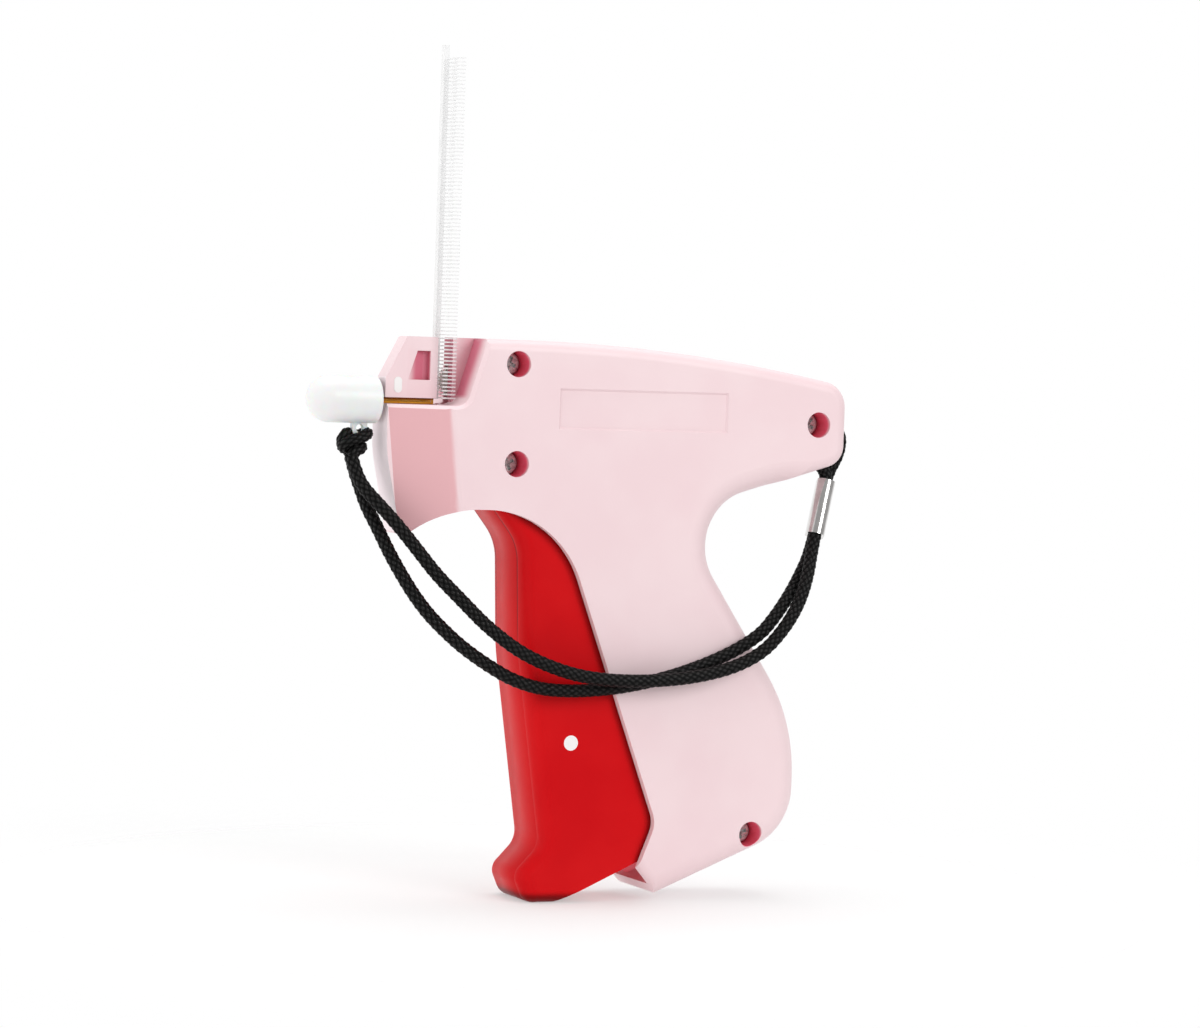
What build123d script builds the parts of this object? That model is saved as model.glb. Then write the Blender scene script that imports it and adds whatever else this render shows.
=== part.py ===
from build123d import *
import math
import os

# Pistol-grip fabric tagging tool, in millimetres. X runs from the nose to the rear, Y to the
# tool's right, Z up. Stations are distances behind the nose's front face, heights are above the
# floor, and the origin is on the floor under the middle of the body and its needle cap.

# Body: two plastic half shells, parted on the plane Y = 0
body_width = 23.0
grip_height = 87.7
barrel_depth = 37.5
barrel_tail = 44.6
wall = 1.8
barrel_rim = 2.5
grip_rim = 5.0
cavity_rim = 2.2
crown_station = 65.0
crown_radius = 395.0
rear_drop = 8.0
rear_face = 17.4
rear_top_radius = 6.0
rear_bottom_radius = 5.0
throat_run = 25.0
throat_blend = 30.0
neck_back = 4.2
thumb_drop = 0.3
thumb_radius = 12.6
grip_depth = 31.3
grip_bulge_height = 40.4
grip_bulge_radius = 42.0
heel_height = 15.4
heel_radius = 14.4
heel_span = 34.3
heel_tip_height = 1.3
heel_tip_radius = 2.0
heel_lip = 5.3
heel_front_height = 7.6
heel_notch_run = 4.0
heel_notch_height = 17.8
heel_notch_radius = 6.0
opening_inset = 26.55
opening_radius = 24.0
cavity_front = 20.5
seam = 0.0

# Nose: flat front face, side chamfers, a cut above the ledge and a thin block over the needle
nose_face_width = 9.2
nose_drop = 6.8
nose_foot = 3.9
nose_foot_radius = 0.9
nose_knee = 11.0
nose_knee_radius = 25.0
nose_throat = 11.7
nose_throat_radius = 20.5
chamfer_length = 12.0
chamfer_lean = 0.11
chamfer_softness = 6.5
ledge_bevel = 0.8
cut_foot = 16.0
cut_lean = 0.312
cut_radius = 3.4
cut_bevel = 0.8
block_width = 5.2
block_brow = 9.2
block_rake = 4.8
slot_front = 12.1
slot_width = 3.5
window_depth = 1.5
window_front = 5.2
window_rear = 10.4
window_rake = 2.1
window_rise = 4.0
window_drop = 3.1
window_ramp = 3.9

# Screws that close the shells; the trigger turns on the boss of the second one
top_screw_station = 27.8
top_screw_drop = 5.3
pivot_station = 28.1
pivot_rise = 10.2
rear_screw_inset = 7.4
rear_screw_drop = 17.0
low_screw_inset = 11.8
low_screw_height = 14.9
boss_radius = 3.8
counterbore_radius = 2.9
counterbore_depth = 7.5
screw_head_radius = 2.6
screw_head_height = 1.8
screw_shank_radius = 1.1
screw_clearance = 0.25
screw_grip = 7.0

# Label recess in each side of the barrel
label_station = 37.9
label_length = 41.4
label_height = 9.1
label_offset = 14.9
label_depth = 0.5
label_bevel = 45.0

# Needle, its lock and the cutter
needle_drop = 14.2
needle_radius = 0.65
needle_bore = 0.5
needle_slit = 0.5
needle_reach = 14.5
needle_bevel = 2.6
plate_length = 7.5
plate_height = 3.6
plate_thickness = 0.8
lock_station = 2.9
lock_height = 3.5
lock_width = 1.8
lock_rise = 3.5
blade_thickness = 0.3
blade_length = 3.4
blade_height = 2.4
seat_gap = 0.05

# Needle cap with its cord tab
cap_length = 16.0
cap_gap = 1.2
cap_radius = 5.2
cap_wall = 1.0
cap_grip = 0.07
tab_width = 3.4
tab_thickness = 1.6
tab_drop = 2.8
tab_station = -5.0
tab_eye = 0.9

# Clip of fasteners in the slot
pin_pitch = 0.82
pin_count = 92
bar_length = 3.0
bar_size = 0.55
thread_size = 0.32
end_bar_offset = 5.2
rail_offset = 2.3
rail_thickness = 1.7
rail_width = 1.2
rail_head = 3.2
rail_clearance = 0.3
bar_clearance = 0.25
first_pin_rise = 0.85

# Feed wheel behind the clip
wheel_teeth = 24
wheel_gap_count = 4
wheel_face = 1.0
wheel_offset = 1.2
tooth_width = 0.24
tooth_depth = 0.6
tooth_addendum = 0.25
feed_axle_radius = 0.75
feed_axle_length = 4.4
pocket_gap = 0.5
detent_length = 3.6
detent_thickness = 0.3

# Trigger and the linkage that drives the slide
trigger_wall = 2.0
trigger_edge = 3.2
trigger_travel = 12.5
hub_radius = 6.0
link_pin_inset = 20.7
link_pin_drop = 26.1
link_pin_radius = 1.7
link_length = 19.5
link_thickness = 3.0
link_end_radius = 3.4
lever_reach = 36.9
lever_drop = 25.7
lever_arm = 22.0
lever_width = 6.0
lever_top_width = 4.0
lever_hub_radius = 4.4
lever_end_radius = 2.9
lever_top_radius = 2.1
lever_axle_radius = 1.5
lever_axle_inset = 1.7
lever_boss_radius = 3.0
pivot_pin_radius = 1.3
pivot_pin_length = 7.4
running_fit = 0.05
open_pivot_play = 0.85
slot_play = 0.15
side_play = 0.3

# Slide, push rod and pawl
slide_lead = 27.1
slide_length = 36.0
slide_width = 8.0
slide_below = 3.5
slide_above = 3.6
tower_above = 6.2
tower_half_length = 5.5
wing_width = 2.5
wing_height = 2.8
rail_rib = 2.4
rib_front = 32.0
rib_rear_inset = 12.6
rod_radius = 0.4
rod_gap = 2.0
pawl_reach = 4.6
pawl_thickness = 0.4

# Return spring round the lever's boss
spring_wire = 1.0
spring_length = 3.0

# Wrist cord, its knot and the crimp sleeve
cord_radius = 1.45
knot_length = 8.2
knot_radius = 2.75
ferrule_length = 12.9
ferrule_wall = 0.6
cord_hole_radius = 2.4

# Values worked out from the sizes above
lever_station = pivot_station + lever_reach
body_length = lever_station + barrel_tail
thumb_station = lever_station + neck_back
grip_reach = thumb_station + grip_depth
heel_tip_station = grip_reach - heel_span
heel_front_station = heel_tip_station - heel_lip
opening_station = lever_station - opening_inset
nose_x = (cap_length + cap_gap - body_length) / 2
half_width = body_width / 2
inner_half = half_width - wall
barrel_top = grip_height + barrel_depth
needle_z = barrel_top - needle_drop
ledge_z = needle_z - needle_radius - seat_gap
mouth_z = needle_z + needle_radius + seat_gap
rear_floor = barrel_top - rear_drop - rear_face
throat_station = thumb_station + throat_run
throat_slope = (rear_floor - grip_height + thumb_drop) / (body_length - thumb_station)
throat_height = grip_height - thumb_drop + throat_slope * throat_run
half_block = block_width / 2
slot_rear = slot_front + slot_width
slot_middle = slot_front + slot_width / 2
nose_bottom = grip_height - nose_drop
pivot_height = grip_height + pivot_rise
screw_seats = [
    (top_screw_station, barrel_top - top_screw_drop),
    (pivot_station, pivot_height),
    (body_length - rear_screw_inset, barrel_top - rear_screw_drop),
    (grip_reach - low_screw_inset, low_screw_height),
]
trigger_width = body_width - 2 * wall - 2 * side_play
lever_height = grip_height - lever_drop
lever_axle_length = 2 * (inner_half - lever_axle_inset)
link_pin_station = lever_station - link_pin_inset
link_pin_height = lever_height - link_pin_drop
wheel_pitch_radius = wheel_teeth * pin_pitch / (2 * math.pi)
wheel_station = slot_middle + wheel_pitch_radius
first_pin_z = needle_z + first_pin_rise
wheel_z = first_pin_z + (wheel_gap_count + 0.5) * pin_pitch


def outline(corners):
    """A closed side view through corners given as (station, height, corner radius).

    Where a straight run is too short for the arcs at both its ends, both arcs shrink to fit it.
    """
    points = [Vector(nose_x + station, height) for station, height, radius in corners]
    count = len(points)
    runs = [points[(index + 1) % count] - points[index] for index in range(count)]
    trims = []
    for index, (station, height, radius) in enumerate(corners):
        turn = runs[index - 1].get_angle(runs[index])
        trims.append(radius * math.tan(math.radians(turn) / 2))
    shares = [0.9 * runs[i].length / max(trims[i] + trims[(i + 1) % count], 1e-6) for i in range(count)]
    radii = [corner[2] * min(1.0, shares[i - 1], shares[i]) for i, corner in enumerate(corners)]
    return make_face(FilletPolyline(*points, radius=radii, close=True))


def slab(face, y_from, y_to):
    """A side view made solid between two planes across the tool, the larger Y first."""
    return extrude(Plane.XZ.offset(-y_from) * face, y_from - y_to)


def across(station, height, radius, y_from, y_to):
    """A round bar across the tool, the larger Y first."""
    return slab(Pos(nose_x + station, height) * Circle(radius), y_from, y_to)


def block(stations, across_range, heights):
    """A box between two stations, two Y values and two heights."""
    low = (nose_x + stations[0], across_range[0], heights[0])
    size = (stations[1] - stations[0], across_range[1] - across_range[0], heights[1] - heights[0])
    return Pos(*low) * Box(*size, align=(Align.MIN, Align.MIN, Align.MIN))


def swing(point, centre, degrees):
    """A side-view point turned about a centre, positive as the trigger is squeezed."""
    turn = math.radians(degrees)
    along = point[0] - centre[0]
    up = point[1] - centre[1]
    return (
        centre[0] + along * math.cos(turn) - up * math.sin(turn),
        centre[1] + along * math.sin(turn) + up * math.cos(turn),
    )


def link_end(link_pin):
    """Where the link from a pin meets the lever's lower arm."""
    along = lever_station - link_pin[0]
    up = lever_height - link_pin[1]
    apart = math.hypot(along, up)
    reach = (link_length**2 - lever_arm**2 + apart**2) / (2 * apart)
    side = math.sqrt(link_length**2 - reach**2)
    return (
        link_pin[0] + (reach * along + side * up) / apart,
        link_pin[1] + (reach * up - side * along) / apart,
    )


def heading(point, centre):
    return math.degrees(math.atan2(point[1] - centre[1], point[0] - centre[0]))


# Linkage at rest and at the end of the trigger's travel
pivot = (pivot_station, pivot_height)
lever_pivot = (lever_station, lever_height)
link_pin_rest = (link_pin_station, link_pin_height)
link_pin_end = swing(link_pin_rest, pivot, trigger_travel)
joint_rest = link_end(link_pin_rest)
joint_end = link_end(link_pin_end)
lever_swing = heading(joint_end, lever_pivot) - heading(joint_rest, lever_pivot)
link_swing = heading(joint_end, link_pin_end) - heading(joint_rest, link_pin_rest) - trigger_travel
lever_rise = needle_z - lever_height
stroke = 2 * lever_rise * math.tan(math.radians(lever_swing / 2))
top_pin = (lever_station + stroke / 2, needle_z)
slide_front = top_pin[0] - slide_lead
print("lever per trigger", round(lever_swing / trigger_travel, 4))
print("link per trigger", round(link_swing / trigger_travel, 4))
print("slide stroke", round(stroke, 3), "per radian", round(stroke / math.radians(trigger_travel), 4))


# Half shells
def body_face():
    """Side view of barrel, thumb hollow, grip and heel."""
    return outline([
        (0, ledge_z, 0),
        (cut_foot, ledge_z, cut_radius),
        (cut_foot + cut_lean * (barrel_top - ledge_z), barrel_top, 0),
        (crown_station, barrel_top, crown_radius),
        (body_length, barrel_top - rear_drop, rear_top_radius),
        (body_length, rear_floor, rear_bottom_radius),
        (thumb_station, grip_height - thumb_drop, thumb_radius),
        (grip_reach, grip_bulge_height, grip_bulge_radius),
        (grip_reach, heel_height, heel_radius),
        (heel_tip_station, heel_tip_height, heel_tip_radius),
        (heel_front_station, heel_front_height, 0),
        (heel_front_station + heel_notch_run, heel_notch_height, heel_notch_radius),
        (opening_station, grip_height, opening_radius),
        (nose_throat, grip_height, nose_throat_radius),
        (nose_foot, nose_bottom, nose_foot_radius),
        (0, needle_z - nose_knee, nose_knee_radius),
    ])


def on_rim(solid, low, high):
    """Edges of a left half's outer face whose middles lie between two heights behind the nose."""
    rim = solid.faces().sort_by(Axis.Y)[0].edges()
    return [edge for edge in rim if low < edge.center().Z < high]


def grip_face():
    """Side view of the grip, run on past the barrel above and past the heel below."""
    rear = body_length + barrel_depth
    heel_slope = (heel_height - heel_tip_height) / heel_span
    return outline([
        (-wall, barrel_top + wall, 0),
        (rear, barrel_top + wall, 0),
        (rear, throat_height - wall, 0),
        (throat_station, throat_height, throat_blend),
        (thumb_station, grip_height - thumb_drop, thumb_radius),
        (grip_reach, grip_bulge_height, grip_bulge_radius),
        (grip_reach, heel_height, heel_radius),
        (-wall, heel_height - heel_slope * (grip_reach + wall), 0),
    ])


def rounded_half(face):
    """The left half of the body, rounded finely along the barrel and more along the grip."""
    barrel = slab(face, seam, -half_width)
    rim = [edge for edge in on_rim(barrel, 0, barrel_top + 1) if edge.center().X > nose_x + heel_tip_station]
    grip = slab(grip_face(), seam, -half_width)
    grip_edges = on_rim(grip, -barrel_top, throat_height + 0.01)
    return fillet(rim, barrel_rim) & fillet(grip_edges, grip_rim)


def nose_chamfer():
    """Wedge off the nose's side, leaning with the front face, its rear edge softly rounded."""
    tall = barrel_top - nose_bottom
    lean = chamfer_lean * tall
    foot = nose_x + lean - chamfer_lean * needle_drop
    side = -half_width - seat_gap / 2
    corners = [(foot - 5, -nose_face_width / 2), (foot, -nose_face_width / 2), (foot + chamfer_length, side)]
    corners += [(foot + 2 * chamfer_length, side), (foot + 2 * chamfer_length, side - 2), (foot - 5, side - 2)]
    plan = FilletPolyline(*corners, radius=[0, 0, chamfer_softness, 0, 0, 0], close=True)
    base = Plane.XY.offset(nose_bottom - 1) * make_face(plan)
    return extrude(base, tall, dir=(-lean, 0, tall))


def cavity(face):
    """Room inside a left half, behind the solid nose."""
    inside = offset(face, amount=-wall)
    behind_nose = Pos(nose_x + cavity_front, 0) * Rectangle(
        body_length, 2 * barrel_top, align=(Align.MIN, Align.CENTER)
    )
    room = slab(inside & behind_nose, seam, -inner_half)
    return fillet(room.faces().sort_by(Axis.Y)[0].edges(), cavity_rim)


def trigger_mouth():
    """Opening in front of the grip through which the trigger swings."""
    low = heel_tip_height + wall
    return outline([
        (cavity_front - 0.5, grip_height - 10, 0),
        (cavity_front - 0.5, grip_height + wall + 3, 0),
        (pivot_station + 14, grip_height + wall + 3, 0),
        (heel_front_station + 15.2, 24, 0),
        (heel_front_station + 12.2, low + 4.9, 0),
        (heel_front_station + 5.2, low + 1.5, 0),
        (heel_front_station - 4.8, low - 0.9, 0),
        (pivot_station + 20, 8, 0),
        (pivot_station, 70, 0),
    ])


def cut_bevels():
    """Slanted cuts that soften the outer edges of the ledge and of the cut above it."""
    top = 2 * barrel_top - ledge_z
    air = outline([
        (-chamfer_length, ledge_z, 0),
        (cut_foot, ledge_z, cut_radius),
        (cut_foot + cut_lean * (top - ledge_z), top, 0),
        (-chamfer_length, top, 0),
    ])
    grown = offset(air, amount=cut_bevel, kind=Kind.INTERSECTION)
    side = extrude(Plane.XZ.offset(half_width) * grown, -cut_bevel, taper=45)
    start = Vector(nose_x, -nose_face_width / 2, ledge_z)
    along = Vector(chamfer_length, nose_face_width / 2 - half_width, 0).normalized()
    section = Plane(origin=start - along, x_dir=(0, 0, 1), z_dir=along) * Rot(0, 0, 45) * Rectangle(
        ledge_bevel * math.sqrt(2), ledge_bevel * math.sqrt(2)
    )
    return side, extrude(section, chamfer_length + cut_foot)


body_view = body_face()
outside = rounded_half(body_view) - nose_chamfer()
for bevel_cut in cut_bevels():
    outside -= bevel_cut
left_half = outside - cavity(body_view)
left_half -= slab(trigger_mouth(), seam, -inner_half)
for station, height in screw_seats:
    left_half += across(station, height, boss_radius, seam, -inner_half - wall / 2) & outside
left_half += across(lever_station, lever_height, lever_boss_radius, -lever_width / 2 - side_play, -inner_half - wall / 2)
left_half -= across(lever_station, lever_height, lever_axle_radius, seam, -lever_axle_length / 2)

# Ribs that guide the slide's wings
rib_inner = slide_width / 2 + 2 * side_play
for low in (needle_z - wing_height / 2 - side_play - rail_rib, needle_z + wing_height / 2 + side_play):
    rib = (rib_front, body_length - rib_rear_inset)
    left_half += block(rib, (-inner_half - wall / 2, -rib_inner), (low, low + rail_rib))

# The right half is the mirror of what is made so far
right_half = mirror(left_half, about=Plane.XZ)

# Screw holes: head recesses on the left, pilot holes on the right
for station, height in screw_seats:
    left_half -= across(station, height, counterbore_radius, counterbore_depth - half_width, -half_width - 1)
    left_half -= across(station, height, screw_shank_radius + screw_clearance, seam, -half_width)
    right_half -= across(station, height, screw_shank_radius, screw_grip + 0.5, seam)

# Label recesses, with bevelled sides
label_middle = (nose_x + label_station + label_length / 2, barrel_top - label_offset)
label_face = Plane.XZ.offset(half_width) * Pos(*label_middle) * Rectangle(label_length, label_height)
label_recess = extrude(label_face, -label_depth, taper=label_bevel)
left_half -= label_recess
right_half -= mirror(label_recess, about=Plane.XZ)

# Nose block behind the slot, in both halves, and in front of it, in the right half alone
behind = (slot_rear, cut_foot + cut_lean * (barrel_top - ledge_z) + 0.3)
left_half += block(behind, (-half_block, seam), (ledge_z - 1, barrel_top))
right_half += block(behind, (seam, half_block), (ledge_z - 1, barrel_top))
front_view = outline([
    (0, mouth_z, 0),
    (0, barrel_top - block_brow, 1.0),
    (block_rake, barrel_top, 1.0),
    (slot_front, barrel_top, 0),
    (slot_front, mouth_z, 0),
])
needle_side = needle_radius + seat_gap
right_half += slab(front_view, half_block, -half_block)
right_half += block((0, slot_front), (needle_side, half_block), (ledge_z - 1, mouth_z + 1))
window_low = mouth_z + window_rise
window_top = barrel_top - window_drop
window_view = outline([
    (window_front, window_low, 0),
    (window_front + window_rake, window_top, 0),
    (window_rear, window_top, 0),
    (window_rear, window_low, 0),
])
ramp_plan = Polyline(
    (nose_x + window_front, -half_block - 1),
    (nose_x + window_front, -half_block),
    (nose_x + window_front + window_ramp, window_depth - half_block),
    (nose_x + window_rear, window_depth - half_block),
    (nose_x + window_rear, -half_block - 1),
    close=True,
)
ramp = extrude(Plane.XY.offset(window_low) * make_face(ramp_plan), window_top - window_low)
right_half -= slab(window_view, half_block, -half_block - 1) & ramp

# Way for the push rod and the pawl, pocket for the feed wheel, and the spent rail's way out
rod_way = needle_radius + seat_gap
pawl_side = wheel_offset + wheel_face / 2 + side_play
rod_stations = (slot_rear - 1, cavity_front + 6)
left_half -= block(rod_stations, (-rod_way, seam + 1), (needle_z - rod_way, needle_z + rod_way))
right_half -= block(rod_stations, (seam - 1, pawl_side), (needle_z - rod_way, needle_z + 1.2))
wheel_tip = wheel_pitch_radius + tooth_addendum
right_half -= across(wheel_station, wheel_z, wheel_tip + pocket_gap, pawl_side, seam - 1)
feed_axle_end = half_block - 0.2
rail_low = rail_offset - rail_clearance
rail_high = rail_offset + rail_thickness + rail_clearance
rail_half = rail_width / 2 + rail_clearance
rail_way = (slot_middle - rail_half, slot_middle + rail_half)
right_half -= block(rail_way, (rail_low, rail_high), (nose_bottom - 2, barrel_top + 1))
feed_hole = across(wheel_station, wheel_z, feed_axle_radius, feed_axle_end, feed_axle_end - feed_axle_length)
left_half -= feed_hole
right_half -= feed_hole

# Lanyard holes through the rear face and the barrel's rear floor
loop_y = -2.6
rear_hole_z = barrel_top - 18.6
floor_hole = body_length - 3.3
left_half -= Pos(nose_x + body_length, loop_y, rear_hole_z) * Rot(0, 90, 0) * Cylinder(cord_hole_radius, 8)
left_half -= Pos(nose_x + floor_hole, loop_y - 0.8, rear_hole_z - 7.0) * Cylinder(cord_hole_radius, 9)


# Needle with its plate, the lock that shows in the block's side, and the blade at the slot
def needle():
    tube = Pos(nose_x - needle_reach, 0, needle_z) * Rot(0, 90, 0) * Cylinder(
        needle_radius, needle_reach + slot_front - 0.2, align=(Align.CENTER, Align.CENTER, Align.MIN)
    )
    plate_rear = lock_station - lock_width + plate_length
    plate = block(
        (lock_station - lock_width, plate_rear),
        (-plate_thickness / 2, plate_thickness / 2),
        (needle_z, mouth_z + plate_height),
    )
    bore = Pos(nose_x - needle_reach - 1, 0, needle_z) * Rot(0, 90, 0) * Cylinder(
        needle_bore, needle_reach + slot_front + 2, align=(Align.CENTER, Align.CENTER, Align.MIN)
    )
    slit = block(
        (-needle_reach - 1, slot_front + 1),
        (-needle_radius - 1, 0),
        (needle_z - needle_slit / 2, needle_z + needle_slit / 2),
    )
    bevel = outline([
        (-needle_reach - 1, needle_z - needle_radius - 0.2, 0),
        (-needle_reach - 1, needle_z + needle_radius + 1, 0),
        (-needle_reach + needle_bevel, needle_z + needle_radius + 0.2, 0),
    ])
    return tube + plate - bore - slit - slab(bevel, 2, -2)


def lock_view(grow):
    """Oval of the needle lock, seen from the side."""
    middle = (nose_x + lock_station, mouth_z + lock_rise - 0.7)
    return Pos(*middle) * SlotOverall(lock_height + 2 * grow, lock_width + 2 * grow, rotation=90)


plate_room = block(
    (lock_station - lock_width, lock_station - lock_width + plate_length),
    (-plate_thickness / 2, plate_thickness / 2),
    (needle_z, mouth_z + plate_height),
)
right_half -= plate_room
right_half -= slab(lock_view(0), -plate_thickness / 2, -half_block - 1)
needle_lock = slab(lock_view(0), -plate_thickness / 2, -half_block - 0.15)
blade_stations = (slot_front - blade_length, slot_front + 0.6)
blade = block(
    blade_stations,
    (needle_side + 0.1, needle_side + 0.1 + blade_thickness),
    (ledge_z - 0.4, ledge_z - 0.4 + blade_height),
)
right_half -= blade


# Closing screws
def screw(station, height):
    head_y = counterbore_depth - half_width
    shank = across(station, height, screw_shank_radius, screw_grip, head_y)
    head = across(station, height, screw_head_radius, head_y, head_y - screw_head_height)
    top = head.faces().sort_by(Axis.Y)[0]
    return shank + fillet(top.edges(), screw_head_height * 0.4)


casing_screws = [screw(station, height) for station, height in screw_seats]


# Trigger: a channel open to the rear, hung on the lower front screw boss
def trigger_solid():
    side = outline([
        (pivot_station - hub_radius, pivot_height + hub_radius, hub_radius - 0.5),
        (pivot_station + hub_radius, pivot_height + hub_radius, hub_radius - 0.5),
        (pivot_station + 8.4, grip_height + 7.3, 4),
        (lever_station - 17.5, grip_height - 9.7, 10),
        (lever_station - 12.8, lever_height - 6.5, 8),
        (heel_front_station + 6.9, 19.5, 4),
        (heel_front_station + 1.6, 9.4, 3),
        (pivot_station + 13.9, 0, 0),
        (pivot_station + 7.1, 0, 3.4),
        (pivot_station + 4.3, 6.4, 3.4),
        (pivot_station + 10.4, 12.8, 5),
        (pivot_station + 3.9, 56.0, 60),
        (pivot_station + 2.9, grip_height - 7.7, 12),
        (pivot_station - 5.7, grip_height + 3.3, 0),
    ])
    half = trigger_width / 2
    solid = slab(side, half, -half)
    front = []
    for face in (solid.faces().sort_by(Axis.Y)[0], solid.faces().sort_by(Axis.Y)[-1]):
        for edge in face.edges():
            middle = edge.center()
            if middle.Z < grip_height + 2 and middle.X < nose_x + pivot_station + 10.9:
                if middle.Z > 0.1:
                    front.append(edge)
    solid = fillet(front, trigger_edge)
    channel = outline([
        (pivot_station + 6.5, grip_height - 1.7, 3),
        (pivot_station + 6.4, 56.0, 0),
        (pivot_station + 12.1, 16.0, 4),
        (pivot_station + 13.9, 2.6, 2),
        (heel_front_station + 1.1, 11.8, 0),
        (heel_front_station + 19.2, 20.0, 0),
        (heel_front_station + 19.2, lever_height, 0),
        (pivot_station + 20, grip_height + 0.3, 0),
    ])
    solid -= slab(channel, half - trigger_wall, trigger_wall - half)
    solid -= across(pivot_station, pivot_height, boss_radius + running_fit, half, -half)
    return solid - across(link_pin_station, link_pin_height, link_pin_radius, half, -half)


trigger = trigger_solid()
link_pin = across(link_pin_station, link_pin_height, link_pin_radius, trigger_width / 2, -trigger_width / 2)


# Link, lever and their pins
def bar_between(first, first_radius, second, second_radius):
    """A flat bar's side view with a round end about each of two points."""
    ends = Pos(nose_x + first[0], first[1]) * Circle(first_radius).edge()
    ends = [ends, Pos(nose_x + second[0], second[1]) * Circle(second_radius).edge()]
    return make_hull(ends)


drive_link = slab(
    bar_between(link_pin_rest, link_end_radius, joint_rest, link_end_radius), link_thickness / 2, -link_thickness / 2
)
drive_link -= across(*link_pin_rest, link_pin_radius + running_fit, link_thickness, -link_thickness)
drive_link -= across(*joint_rest, pivot_pin_radius + open_pivot_play, link_thickness, -link_thickness)

fork_gap = link_thickness / 2 + side_play
drive_lever = slab(
    bar_between(lever_pivot, lever_hub_radius, joint_rest, lever_end_radius), lever_width / 2, -lever_width / 2
)
drive_lever -= across(*joint_rest, lever_arm - lever_hub_radius - 2.5, fork_gap, -fork_gap)
drive_lever += slab(
    bar_between(lever_pivot, lever_top_radius, top_pin, lever_top_radius), lever_top_width / 2, -lever_top_width / 2
)
drive_lever -= across(*lever_pivot, lever_axle_radius + running_fit, lever_width, -lever_width)
lever_pins = []
for place in (joint_rest, top_pin):
    drive_lever -= across(*place, pivot_pin_radius, lever_width, -lever_width)
    lever_pins.append(across(*place, pivot_pin_radius, pivot_pin_length / 2, -pivot_pin_length / 2))
lever_axle = across(*lever_pivot, lever_axle_radius, lever_axle_length / 2, -lever_axle_length / 2)


# Slide with wings and a tower slotted for the lever's top pin
def slide_solid():
    rear = slide_front + slide_length
    half = slide_width / 2
    solid = block((slide_front, rear), (-half, half), (needle_z - slide_below, needle_z + slide_above))
    solid += block(
        (slide_front, rear), (-half - wing_width, half + wing_width), (needle_z - wing_height / 2, needle_z + wing_height / 2)
    )
    tower = (top_pin[0] - tower_half_length, top_pin[0] + tower_half_length)
    solid += block(tower, (-half, half), (needle_z, needle_z + tower_above))
    gap = lever_top_width / 2 + side_play
    room = (tower[0] + 1.5, tower[1] - 1.5)
    solid -= block((room[0] - 2, room[1] + 2), (-gap, gap), (needle_z - slide_below - 1, needle_z + slide_above))
    solid -= block(room, (-gap, gap), (needle_z - slide_below - 1, needle_z + tower_above + 1))
    pin_rise = lever_rise / math.cos(math.radians(lever_swing / 2)) - lever_rise
    slot_half = pivot_pin_radius + slot_play
    solid -= block(
        (top_pin[0] - slot_half, top_pin[0] + slot_half),
        (-half, half),
        (needle_z - pivot_pin_radius - side_play, needle_z + pin_rise + pivot_pin_radius + side_play),
    )
    return solid


slide = slide_solid()
rod_tip = slot_rear + rod_gap
push_rod = Pos(nose_x + rod_tip, 0, needle_z) * Rot(0, 90, 0) * Cylinder(
    rod_radius, slide_front + 4 - rod_tip, align=(Align.CENTER, Align.CENTER, Align.MIN)
)
slide -= push_rod
pawl_low = needle_z + 0.5
pawl_y = (wheel_offset - wheel_face / 2, wheel_offset + wheel_face / 2)
feed_pawl = block((slide_front - pawl_reach, slide_front), pawl_y, (pawl_low, pawl_low + pawl_thickness))
feed_pawl += block((slide_front - pawl_thickness, slide_front), pawl_y, (pawl_low, needle_z + slide_above))


# Feed wheel on its axle, with the leaf that holds it between strokes
def feed_wheel_solid():
    disc = Circle(wheel_pitch_radius + tooth_addendum - tooth_depth)
    for tooth in range(wheel_teeth):
        reach = wheel_pitch_radius + tooth_addendum
        disc += Rot(0, 0, 360 * tooth / wheel_teeth) * Pos(reach - tooth_depth, 0) * Rectangle(
            tooth_depth * 2, tooth_width
        )
    disc = Pos(nose_x + wheel_station, wheel_z) * (disc & Circle(wheel_pitch_radius + tooth_addendum))
    wheel = slab(disc, wheel_offset + wheel_face / 2, wheel_offset - wheel_face / 2)
    wheel += across(wheel_station, wheel_z, feed_axle_radius + 0.8, pawl_side - 0.1, 0.2)
    return wheel - across(wheel_station, wheel_z, feed_axle_radius + running_fit, half_block, -half_block)


feed_wheel = feed_wheel_solid()
feed_axle = feed_hole
detent_foot = wheel_tip + 0.1
detent_strip = Pos(detent_foot + detent_length / 2, 0) * Rectangle(detent_length, detent_thickness)
detent_view = Pos(nose_x + wheel_station, wheel_z) * Rot(0, 0, 52.5) * detent_strip
detent_spring = slab(detent_view, pawl_y[1], pawl_y[0])
right_half -= detent_spring
right_half -= across(wheel_station, wheel_z, wheel_tip + pocket_gap, pawl_side, seam - 1)


# Return spring: coil about the lever's right boss, with a leg on the lever and a leg on the grip
def return_spring_solid():
    start = lever_width / 2 + 2 * side_play
    inside = lever_boss_radius + side_play
    coil = across(*lever_pivot, inside + spring_wire, start + spring_length, start)
    coil -= across(*lever_pivot, inside, start + spring_length, start)
    arm = inside + spring_wire / 2
    for turn, reach, y_low in ((-60.0, 15.0, start), (80.0, 9.0, start + spring_length - spring_wire)):
        strip = Pos(reach / 2, arm) * Rectangle(reach, spring_wire)
        leg = Pos(nose_x + lever_station, lever_height) * Rot(0, 0, turn) * strip
        coil += slab(leg, y_low + spring_wire, y_low)
    return coil


return_spring = return_spring_solid()


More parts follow.
